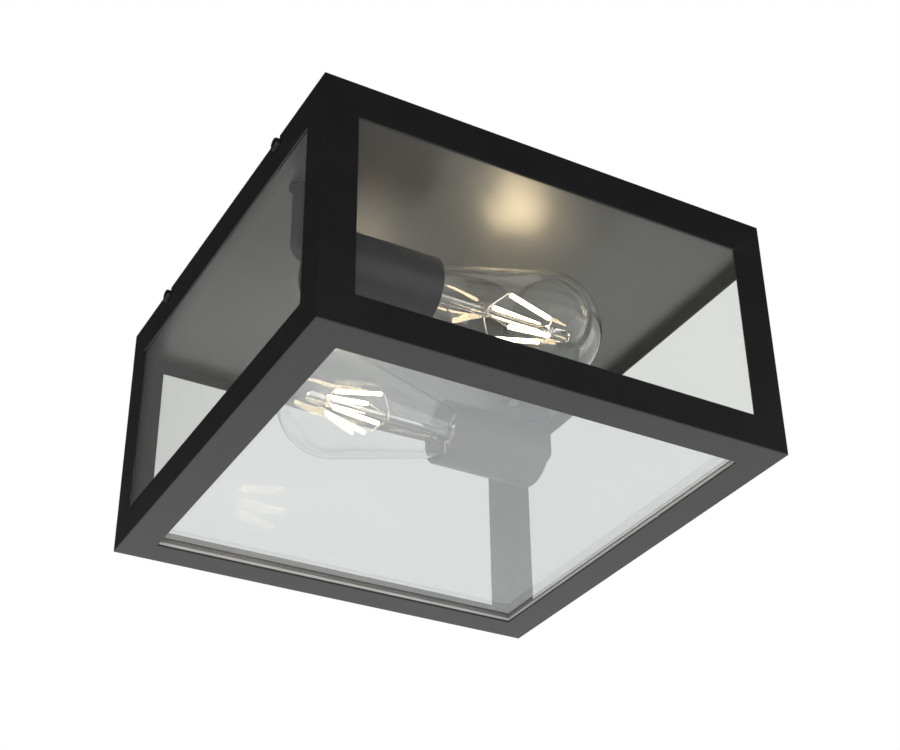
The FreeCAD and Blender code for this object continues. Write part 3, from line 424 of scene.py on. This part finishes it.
finishOfSlot = {
    "cage_black": cageBlack, "clear_glass": paneGlass, "black_rubber": bushRubber,
    "pale_silicone": sealPaintedReflection, "pan_grey": panGrey, "black_screw": screwBlack,
    "zinc_steel": zincSteel, "nut_black": nutBlack, "bracket_black": bracketBlack,
    "sleeve_black": sleeveBlack, "core_ceramic": coreWhite, "brass": brass, "white_plastic": whitePlastic,
    "earth_wire": earthGreen, "black_wire": wireBlack, "sheath_black": sheathBlack, "solder": solder,
    "insulator_black": insulatorBlack, "cap_nickel": capNickel, "lamp_glass": lampGlass,
    "filament": filamentGlow, "support_wire": supportWire}
for entry in frame["record"]["subparts"]:
    node = frame["nodes"][entry["node"]]
    node.data.materials.clear()
    node.data.materials.append(finishOfSlot[entry["material_slot"]])
for side in lampSides:
    frame["nodes"]["lamp_stem_" + side].data.materials[0] = stemGlass
frame["nodes"]["base_pane"].data.materials[0] = baseGlass


# cage: folded rails and posts with softened folds and mitres

cage = {"half": 130, "height": 142, "sheet": 1.2, "topRail": 21.4, "baseRail": 18.4, "flange": 18.5,
        "post": 18.7, "softEdge": 0.45, "cornerShare": 0.6, "notchSpacing": 150, "notchRadius": 2.3,
        "notchDrop": 5}


def cutMitres(piece):
    for sign in (-1, 1):
        cutWithPlane(piece, (0, 0, 0), (sign, 1, 0))


def softenCorners(piece):
    # takes the sharp upright corners off, as the fold of the post below has
    half, edge = cage["half"], cage["softEdge"]
    for sign in (-1, 1):
        cutWithPlane(piece, (sign * (half - edge * cage["cornerShare"]), -half, 0), (sign, -1, 0))


def buildTopRail(notched):
    half, sheet, post = cage["half"], cage["sheet"], cage["post"]
    rail = addBlock("topRail", (-half, -half, -cage["topRail"]), (half, -half + sheet, 0))
    for sign in (-1, 1):
        cutWithPlane(rail, (sign * (half - post), 0, 0), (1, 0, 0), clearOuter=False)
    bevelEdges(rail, lambda middle, way: abs(way.x) > along and (
        middle.z > -near or abs(middle.x) < half - post), cage["softEdge"])
    if notched:
        for sign in (-1, 1):
            middle = cage["notchSpacing"] / 2 * sign
            slot = addBlock("notchSlot", (middle - cage["notchRadius"], -half - sheet, -cage["notchDrop"]),
                            (middle + cage["notchRadius"], -half + sheet * 2, sheet))
            roundEnd = addRod("notchEnd", cage["notchRadius"], -sheet * 2, sheet * 2, 32)
            setInPlace(roundEnd, Matrix.Translation((middle * mm, -half * mm, -cage["notchDrop"] * mm))
                       @ Matrix.Rotation(math.radians(90), 4, "X"))
            cutAway(rail, slot, roundEnd)
    cutMitres(rail)
    softenCorners(rail)
    polish(rail)
    return rail


def buildBaseRail():
    half, sheet, post = cage["half"], cage["sheet"], cage["post"]
    low = -cage["height"]
    high = low + cage["baseRail"]
    rail = addBlock("baseRail", (-half, -half, low), (half, -half + sheet, high))
    cutWithPlane(rail, (0, 0, low + sheet), (0, 0, 1), clearOuter=False)
    extrudeFaces(rail, lambda centre, normal: normal.y > along and centre.z < (low + sheet) * mm,
                 (0, cage["flange"] - sheet, 0))
    for sign in (-1, 1):
        cutWithPlane(rail, (sign * (half - post), 0, 0), (1, 0, 0), clearOuter=False)
    bevelEdges(rail, lambda middle, way: abs(way.x) > along and (
        middle.z < low + sheet + near or abs(middle.x) < half - post), cage["softEdge"])
    cutMitres(rail)
    softenCorners(rail)
    polish(rail)
    return rail


def buildPost():
    half, sheet = cage["half"], cage["sheet"]
    low, high = -cage["height"] + cage["baseRail"], -cage["topRail"]
    post = addBlock("post", (-half, -half, low), (-half + cage["post"], -half + sheet, high))
    cutWithPlane(post, (-half + sheet, 0, 0), (1, 0, 0), clearOuter=False)
    extrudeFaces(post, lambda centre, normal: normal.y > along and centre.x < (-half + sheet) * mm,
                 (0, cage["post"] - sheet, 0))
    bevelEdges(post, lambda middle, way: abs(way.z) > along, cage["softEdge"])
    polish(post)
    return post


print("building the cage")
plainRail, notchedRail = buildTopRail(False), buildTopRail(True)
baseRail, post = buildBaseRail(), buildPost()
postAt = {"front": "front_left", "right": "front_right", "back": "back_right", "left": "back_left"}
for side, degrees in quarterTurns.items():
    model = notchedRail if side in ("left", "right") else plainRail
    for source, label, node in ((model, "topRail", "top_rail_" + side),
                                (baseRail, "baseRail", "base_rail_" + side),
                                (post, "cornerPost", "corner_post_" + postAt[side])):
        piece = setInPlace(copyPiece(source, "%s_%s" % (label, side)), turnAboutZ(degrees))
        finishPiece(piece, cageBlack, "cage", "cage_black", node)
for source in (plainRail, notchedRail, baseRail, post):
    bpy.data.objects.remove(source)


# glazing with ground edges

panes = {"inside": 128.75, "thick": 3, "play": 0.3, "low": -136, "high": -14.5, "baseLow": -139,
         "edge": 0.35}


def buildPanes():
    inside, thick, play = panes["inside"], panes["thick"], panes["play"]
    full, between = inside - play, inside - thick - play
    shapes = {"left": ((-inside, -full), (-inside + thick, full)),
              "right": ((inside - thick, -full), (inside, full)),
              "front": ((-between, -inside), (between, -inside + thick)),
              "back": ((-between, inside - thick), (between, inside))}
    for side, (low, high) in shapes.items():
        pane = addBlock("pane_" + side, (*low, panes["low"]), (*high, panes["high"]))
        softenEdges(pane, panes["edge"])
        finishPiece(pane, paneGlass, "cage", "clear_glass", "side_pane_" + side)
    pane = addBlock("pane_base", (-full, -full, panes["baseLow"]), (full, full, panes["low"]))
    softenEdges(pane, panes["edge"])
    finishPiece(pane, baseGlass, "cage", "clear_glass", "base_pane")


print("building the panes")
buildPanes()


# lampholder sleeves: drawn cups with a rolled lip

holder = {"back": 101.5, "offset": 60, "drop": 56, "length": 64.5, "radius": 19.5, "wall": 1.0, "base": 1.5,
          "hole": 5.05, "corner": 2.0, "lip": 0.45}


def sideMatrix(side, reach):
    # a piece modelled along +Z from the reach, in the left holder, or the right one half a turn round
    place = Matrix.Translation((-reach * mm, -holder["offset"] * mm, -holder["drop"] * mm))
    turned = place @ Matrix.Rotation(math.radians(90), 4, "Y")
    return turned if side == "left" else turnAboutZ(180) @ turned


def cornerPoints(centre, radius, start, end, steps=6):
    points = []
    for step in range(steps + 1):
        angle = math.radians(start + (end - start) * step / steps)
        points.append((centre[0] + radius * math.cos(angle), centre[1] + radius * math.sin(angle)))
    return points


def buildSleeve():
    outer, inner, length = holder["radius"], holder["radius"] - holder["wall"], holder["length"]
    corner, lip = holder["corner"], holder["lip"]
    outline = [(holder["hole"], 0)]
    outline += cornerPoints((outer - corner, corner), corner, -90, 0)
    outline += cornerPoints((outer - lip, length - lip), lip, 0, 90, 4)
    outline += cornerPoints((inner + lip, length - lip), lip, 90, 180, 4)
    outline += [(inner, holder["base"]), (holder["hole"], holder["base"]), (holder["hole"], 0)]
    sleeve = turnProfile("sleeve", outline, 96)
    smoothByAngle(sleeve, 35)
    return sleeve


print("building the lampholder sleeves")
sleeveModel = buildSleeve()
for side in lampSides:
    sleeve = setInPlace(copyPiece(sleeveModel, "sleeve_" + side), sideMatrix(side, holder["back"]))
    finishPiece(sleeve, sleeveBlack, "pan", "sleeve_black", "holder_sleeve_" + side)
bpy.data.objects.remove(sleeveModel)


# small fixings: clamp screws, cap nuts, holder brackets, seal and bar

screw = {"seat": 130.1, "across": 75, "drop": 5, "shank": 2, "length": 8, "head": 3.6, "height": 2.4,
         "slotWidth": 1, "slotDepth": 1.2, "round": 0.8, "point": 0.4, "chamfer": 0.15}


def buildClampScrews():
    shank, head, length = screw["shank"], screw["head"], screw["length"]
    top = length + screw["height"]
    outline = [(pole, 0), (shank - screw["point"], 0), (shank, screw["point"]), (shank, length),
               (head - screw["chamfer"], length)]
    outline += [(head, length + screw["chamfer"])]
    outline += cornerPoints((head - screw["round"], top - screw["round"]), screw["round"], 0, 90, 5)
    outline += [(pole, top)]
    model = turnProfile("clampScrew", outline, 40)
    slot = addBlock("screwSlot", (-screw["slotWidth"] / 2, -head - past, top - screw["slotDepth"]),
                    (screw["slotWidth"] / 2, head + past, top + past))
    cutAway(model, slot)
    smoothByAngle(model, 35)
    screws = []
    for degrees in (0, 180):
        for sign in (-1, 1):
            spot = Vector((screw["seat"] - length, screw["across"] * sign, -screw["drop"])) * mm
            outward = Matrix.Rotation(math.radians(90), 4, "Y")
            inPlace = turnAboutZ(degrees) @ Matrix.Translation(spot) @ outward
            screws.append(setInPlace(copyPiece(model, "clampScrew"), inPlace))
    bpy.data.objects.remove(model)
    return joinPieces("clampScrews", screws)


capNut = {"reach": 50, "under": -14, "flats": 7, "height": 3.2, "dome": 3.2, "bore": 2.05, "boreEnd": -18.3,
          "edge": 0.25}


def buildCapNuts():
    under, dome = capNut["under"], capNut["dome"]
    foot = under - capNut["height"]
    nut = addRod("capNut", capNut["flats"] / math.sqrt(3), foot, under, 6)
    softenEdges(nut, capNut["edge"])
    outline = [(pole, foot + past), (dome, foot + past)] + cornerPoints((0, foot), dome, 0, -89.5, 12)
    cap = turnProfile("nutDome", outline + [(pole, foot - dome)], 36)
    addModifier(nut, "BOOLEAN", object=cap, operation="UNION", solver="EXACT")
    bpy.data.objects.remove(cap)
    cutAway(nut, addRod("nutBore", capNut["bore"], capNut["boreEnd"], under + past, 32))
    smoothByAngle(nut, 35)
    nuts = [setInPlace(copyPiece(nut, "capNut"), Matrix.Translation((capNut["reach"] * sign * mm, 0, 0)))
            for sign in (-1, 1)]
    bpy.data.objects.remove(nut)
    return joinPieces("capNuts", nuts)


bracket = {"sheet": 1.5, "foot": 15, "half": 13, "top": -14, "low": -68, "corner": 6, "fold": 0.5,
           "hole": 5.05, "rivetHole": 1.65, "rivetSpacing": 16, "edge": 0.2}


def buildBracket():
    # the foot lies under the pan and the tab is pulled down from its outer end
    sheet, half, top = bracket["sheet"], bracket["half"], bracket["top"]
    piece = addBlock("bracket", (-sheet, -half, top - sheet), (bracket["foot"], half, top))
    cutWithPlane(piece, (0, 0, 0), (1, 0, 0), clearOuter=False)
    extrudeFaces(piece, lambda centre, normal: normal.z < -along and centre.x < 0,
                 (0, 0, bracket["low"] - top + sheet))
    bevelEdges(piece, lambda middle, way: abs(way.x) > along and middle.z < bracket["low"] + near,
               bracket["corner"], 8)
    bevelEdges(piece, lambda middle, way: abs(way.y) > along and middle.x < near
               and middle.z > top - sheet - near
               and (middle.x < -sheet + near) == (middle.z > top - near), bracket["fold"], 4)
    hole = addRod("holderHole", bracket["hole"], -sheet * 3, sheet * 3)
    setInPlace(hole, Matrix.Translation((0, 0, -holder["drop"] * mm))
               @ Matrix.Rotation(math.radians(90), 4, "Y"))
    cutters = [hole]
    for sign in (-1, 1):
        rivetHole = addRod("rivetHole", bracket["rivetHole"], top - sheet - past, top + past, 32)
        spot = Vector((bracket["foot"] / 2, bracket["rivetSpacing"] / 2 * sign, 0)) * mm
        cutters.append(setInPlace(rivetHole, Matrix.Translation(spot)))
    cutAway(piece, *cutters)
    softenEdges(piece, bracket["edge"])
    return piece


seal = {"outer": 128.5, "inner": 111.5, "low": -140.8, "high": -139, "edge": 0.4}


def buildSeal():
    outer, inner = seal["outer"], seal["inner"]
    piece = addBlock("baseSeal", (-outer, -outer, seal["low"]), (outer, outer, seal["high"]))
    cutAway(piece, addBlock("sealWindow", (-inner, -inner, seal["low"] - past),
                            (inner, inner, seal["high"] + past)))
    softenEdges(piece, seal["edge"])
    return piece


bar = {"half": 62, "wide": 11, "sheet": 1.5, "slotAt": 35, "slotHalf": 4.6, "slotRadius": 2.4, "studAt": 50,
       "studHole": 2.05, "corner": 1.5, "edge": 0.15}


def buildBar():
    sheet = bar["sheet"]
    piece = addBlock("mountingBar", (-bar["half"], -bar["wide"], -sheet), (bar["half"], bar["wide"], 0))
    bevelEdges(piece, lambda middle, way: abs(way.z) > along, bar["corner"], 5)
    cutters = []
    for sign in (-1, 1):
        middle = bar["slotAt"] * sign
        cutters.append(addBlock("barSlot", (middle - bar["slotHalf"], -bar["slotRadius"], -sheet * 2),
                                (middle + bar["slotHalf"], bar["slotRadius"], sheet)))
        for reach, radius in ((middle - bar["slotHalf"], bar["slotRadius"]),
                              (middle + bar["slotHalf"], bar["slotRadius"]),
                              (bar["studAt"] * sign, bar["studHole"])):
            cutters.append(setInPlace(addRod("barHole", radius, -sheet * 2, sheet, 32),
                                      Matrix.Translation((reach * mm, 0, 0))))
    cutAway(piece, *cutters)
    softenEdges(piece, bar["edge"])
    return piece


print("building the small fixings")
finishPiece(buildClampScrews(), screwBlack, "pan", "black_screw", "clamp_screws")
finishPiece(buildCapNuts(), nutBlack, "pan", "nut_black", "cap_nuts")
bracketModel = buildBracket()
for side in lampSides:
    inPlace = Matrix.Translation((-holder["back"] * mm, -holder["offset"] * mm, 0))
    piece = setInPlace(copyPiece(bracketModel, "bracket_" + side),
                       inPlace if side == "left" else turnAboutZ(180) @ inPlace)
    finishPiece(piece, bracketBlack, "pan", "bracket_black", "holder_bracket_" + side)
bpy.data.objects.remove(bracketModel)
# the base seal takes the pale grey that is a painted reflection of the base flange's edge
finishPiece(buildSeal(), sealPaintedReflection, "cage", "pale_silicone", "base_seal")
finishPiece(buildBar(), zincSteel, "pan", "zinc_steel", "mounting_bar")


# lamps: pear glass, stem and four filament rods

lamp = {"tip": 75, "length": 140, "dome": 32, "neck": 14.2, "neckStart": 30, "neckFoot": 25,
        "footRadius": 11.65, "wall": 0.8, "stemRadius": 2.2, "buttonGap": 1.5, "buttonRadius": 3.4, "buttonLength": 11,
        "rodRadius": 1.2, "rodLength": 28, "rodLow": 82, "lowReach": 13, "highReach": 7, "rods": 4,
        "wireRadius": 0.4, "bead": 0.5, "collar": 1.6, "collarEdge": 0.2, "leadDrop": 7.4,
        "leadFoot": 39.05, "rodRound": 0.6, "buttonRound": 1.6, "flareEnd": 39.4,
        "roll": {"left": 55, "right": 35}}
# radius and height above the cap's foot
shoulder = ((11.65, 27), (12.6, 28.2), (13.6, 29.2))
stemFlare = ((pole, 25), (9.6, 25), (10.4, 25.4), (10.4, 26), (8.6, 27.6), (6.2, 30), (4.8, 33), (3.6, 36),
             (2.6, 38))
buttonShoulder = ((2.8, 0.3), (3.2, 0.8))  # radius, and height above the button's foot


def pearOutline():
    # neck, straight taper that touches the dome, dome
    radius, centre = lamp["dome"], lamp["length"] - lamp["dome"]
    reach = centre - lamp["neckStart"]
    distance = math.hypot(reach, lamp["neck"])
    lean = math.asin(radius / distance) - math.asin(lamp["neck"] / distance)
    outline = [(lamp["footRadius"], lamp["neckFoot"]), *shoulder, (lamp["neck"], lamp["neckStart"])]
    startRadius, startHeight = radius * math.cos(lean), centre - radius * math.sin(lean)
    for step in range(1, 12):
        share = step / 12
        outline.append((lamp["neck"] + (startRadius - lamp["neck"]) * share,
                        lamp["neckStart"] + (startHeight - lamp["neckStart"]) * share))
    outline += cornerPoints((0, centre), radius, -math.degrees(lean), 89.5, 36)
    return outline + [(pole, lamp["length"])]


def buildLampGlass():
    glass = turnProfile("lampGlass", pearOutline(), 96)
    addModifier(glass, "SOLIDIFY", thickness=lamp["wall"] * mm, offset=-1, use_even_offset=True, use_rim=True)
    smoothByAngle(glass, 60)
    return glass


def rodEnds(side, turn):
    angle = math.radians(lamp["roll"][side] + 360 / lamp["rods"] * turn)
    lean = lamp["lowReach"] - lamp["highReach"]
    rise = math.sqrt(lamp["rodLength"] ** 2 - lean ** 2)
    direction = Vector((math.cos(angle), math.sin(angle), 0))
    return (direction * lamp["lowReach"] + Vector((0, 0, lamp["rodLow"])),
            direction * lamp["highReach"] + Vector((0, 0, lamp["rodLow"] + rise)))


def buildStem():
    top = rodEnds("left", 0)[1].z + lamp["collar"] * 1.5 + lamp["buttonGap"]
    end = top + lamp["buttonLength"]
    button, turn = lamp["buttonRadius"], lamp["buttonRound"]
    outline = [*stemFlare, (lamp["stemRadius"], lamp["flareEnd"]), (lamp["stemRadius"], top)]
    outline += [(radius, top + rise) for radius, rise in buttonShoulder] + [(button, top + turn)]
    outline += cornerPoints((button - turn, end - turn), turn, 0, 80, 5)
    stem = turnProfile("lampStem", outline + [(pole, end)], 32)
    smoothByAngle(stem, 45)
    return stem


def alongLine(start, end):
    # turns a piece modelled along +Z from its foot to run from start to end
    turn = (end - start).to_track_quat("Z", "Y").to_matrix().to_4x4()
    return Matrix.Translation(start * mm) @ turn


def buildRods(side):
    radius, length = lamp["rodRadius"], lamp["rodLength"]
    turn = radius * lamp["rodRound"]
    outline = [(pole, 0)] + cornerPoints((radius - turn, turn), turn, -90, 0, 4)
    outline += cornerPoints((radius - turn, length - turn), turn, 0, 90, 4) + [(pole, length)]
    model = turnProfile("rod", outline, 20)
    smoothByAngle(model, 50)
    rods = []
    for turn in range(lamp["rods"]):
        rods.append(setInPlace(copyPiece(model, "rod"), alongLine(*rodEnds(side, turn))))
    bpy.data.objects.remove(model)
    return joinPieces("filamentRods", rods)


def buildCollar(bore, level):
    thick, edge, chamfer = lamp["collar"] / 2, bore + lamp["wireRadius"] * 2, lamp["collarEdge"]
    collar = turnProfile("collar", [
        (bore, level - thick), (edge - chamfer, level - thick), (edge, level - thick + chamfer),
        (edge, level + thick - chamfer), (edge - chamfer, level + thick), (bore, level + thick),
        (bore, level - thick)], 32)
    smoothByAngle(collar, 40)
    return collar


def buildWire(start, end):
    wire = addRod("wire", lamp["wireRadius"], 0, (end - start).length, 12)
    smoothByAngle(wire, 40)
    return setInPlace(wire, alongLine(start, end))


def buildBead(centre):
    deselectEverything()
    bpy.ops.mesh.primitive_uv_sphere_add(segments=16, ring_count=10, radius=lamp["bead"] * mm,
                                         location=centre * mm)
    bpy.ops.object.transform_apply(location=True, rotation=True, scale=True)
    smoothByAngle(bpy.context.object, 80)
    return bpy.context.object


def buildRodWires(side):
    bore = lamp["stemRadius"] + 0.05
    parts = []
    for end, drop, outward in ((0, lamp["leadDrop"], -1), (1, 0, 1)):
        level = rodEnds(side, 0)[end].z + lamp["collar"] * outward - drop
        parts.append(buildCollar(bore, level))
        for turn in range(lamp["rods"]):
            low, high = rodEnds(side, turn)
            tip = (low, high)[end]
            knee = tip + (high - low).normalized() * outward * lamp["collar"]
            start = Vector((tip.x, tip.y, 0)).normalized() * (bore + lamp["wireRadius"] * 1.5)
            start.z = level
            parts += [buildWire(start, knee), buildWire(tip, knee), buildBead(knee)]
        if not end:
            for sign in (-1, 1):
                across = sign * (bore + lamp["wireRadius"])
                parts.append(buildWire(Vector((across, 0, lamp["leadFoot"])), Vector((across, 0, level))))
    return joinPieces("rodWires", parts)


print("building the lamps")
for side in lampSides:
    for piece, material, slotName, node in (
            (buildLampGlass(), lampGlass, "lamp_glass", "lamp_glass_"),
            (buildStem(), stemGlass, "lamp_glass", "lamp_stem_"),
            (buildRods(side), filamentGlow, "filament", "lamp_filaments_"),
            (buildRodWires(side), supportWire, "support_wire", "lamp_filament_wires_")):
        piece.name = "%s_%s" % (piece.name.split(".")[0], side)
        finishPiece(setInPlace(piece, sideMatrix(side, lamp["tip"])), material, "lamp_" + side, slotName,
                    node + side)


# studio

def seenByCamera(tree):
    # 1 for camera, glossy and transmission rays, 0 for the rays that light the lantern
    lightPath = tree.nodes.new("ShaderNodeLightPath")
    seen = lightPath.outputs["Is Camera Ray"]
    for name in ("Is Glossy Ray", "Is Transmission Ray"):
        either = tree.nodes.new("ShaderNodeMath")
        either.operation = "MAXIMUM"
        tree.links.new(seen, either.inputs[0])
        tree.links.new(lightPath.outputs[name], either.inputs[1])
        seen = either.outputs["Value"]
    return seen


studio = {"floorSize": 14, "floorLevel": -1.7, "floorColour": (0.84, 0.84, 0.84, 1), "floorSeen": 0.85,
          "boardSize": 9, "boardLevel": 1.2, "boardColour": (0.01, 0.01, 0.01, 1), "rough": 0.9,
          "worldLight": 0.6, "worldSeen": 1.0, "aim": (0, 0, -0.07),
          "cameraPlace": (-0.37192, -0.67143, -0.54413), "cameraTurn": (122.184, 0.726, -29.189),
          "lens": 65.957, "sensor": 36}
lights = {"keyLight": ((-1.0, -1.5, -0.7), 1.2, 14), "fillLight": ((1.6, -0.7, -0.3), 1.2, 6),
          "topLight": ((0.3, 0.6, 1.6), 1.4, 14)}  # place in metres, size in metres, power in watts


def addSheet(name, size, level, finishName, colour):
    # a level sheet of the studio, in metres
    deselectEverything()
    bpy.ops.mesh.primitive_plane_add(size=size, location=(0, 0, level))
    sheet = bpy.context.object
    sheet.name = name
    material, tree, shader, place = newFinish(finishName)
    shader.inputs["Base Color"].default_value = colour
    shader.inputs["Roughness"].default_value = studio["rough"]
    sheet.data.materials.append(material)
    return sheet, tree, shader


def buildFloor():
    floor, tree, shader = addSheet("studioFloor", studio["floorSize"], studio["floorLevel"], "paleFloor",
                                   studio["floorColour"])
    paper = tree.nodes.new("ShaderNodeEmission")
    floorMix = tree.nodes.new("ShaderNodeMixShader")
    tree.links.new(addRange(tree, seenByCamera(tree), 0, studio["floorSeen"], 0, 1), floorMix.inputs["Fac"])
    tree.links.new(shader.outputs["BSDF"], floorMix.inputs[1])
    tree.links.new(paper.outputs["Emission"], floorMix.inputs[2])
    output = next(node for node in tree.nodes if node.type == "OUTPUT_MATERIAL")
    tree.links.new(floorMix.outputs["Shader"], output.inputs["Surface"])


def buildCeilingBoard():
    # seen in reflections only, as the dark ceiling over a porch lantern would be
    board = addSheet("darkCeilingBoard", studio["boardSize"], studio["boardLevel"], "darkBoard",
                     studio["boardColour"])[0]
    board.visible_camera = board.visible_transmission = False
    board.visible_diffuse = board.visible_shadow = False


def buildWorld():
    world = bpy.data.worlds.new("studioWorld")
    bpy.context.scene.world = world
    world.use_nodes = True
    tree = world.node_tree
    background = next(node for node in tree.nodes if node.type == "BACKGROUND")
    background.inputs["Color"].default_value = (1, 1, 1, 1)
    strength = addRange(tree, seenByCamera(tree), studio["worldLight"], studio["worldSeen"], 0, 1)
    tree.links.new(strength, background.inputs["Strength"])


def buildLights():
    for name, (place, size, power) in lights.items():
        deselectEverything()
        bpy.ops.object.light_add(type="AREA", location=place)
        light = bpy.context.object
        light.name = name
        light.data.size = size
        light.data.energy = power
        light.rotation_euler = (Vector(studio["aim"]) - Vector(place)).to_track_quat("-Z", "Y").to_euler()


def buildCamera():
    deselectEverything()
    bpy.ops.object.camera_add(location=studio["cameraPlace"],
                              rotation=[math.radians(part) for part in studio["cameraTurn"]])
    camera = bpy.context.object
    camera.data.lens = studio["lens"]
    camera.data.sensor_width = studio["sensor"]
    camera.data.clip_start, camera.data.clip_end = 0.01, 50
    bpy.context.scene.camera = camera
    bpy.context.scene.view_settings.view_transform = "Standard"


print("setting up the studio")
buildFloor()
buildCeilingBoard()
buildWorld()
buildLights()
buildCamera()
deselectEverything()
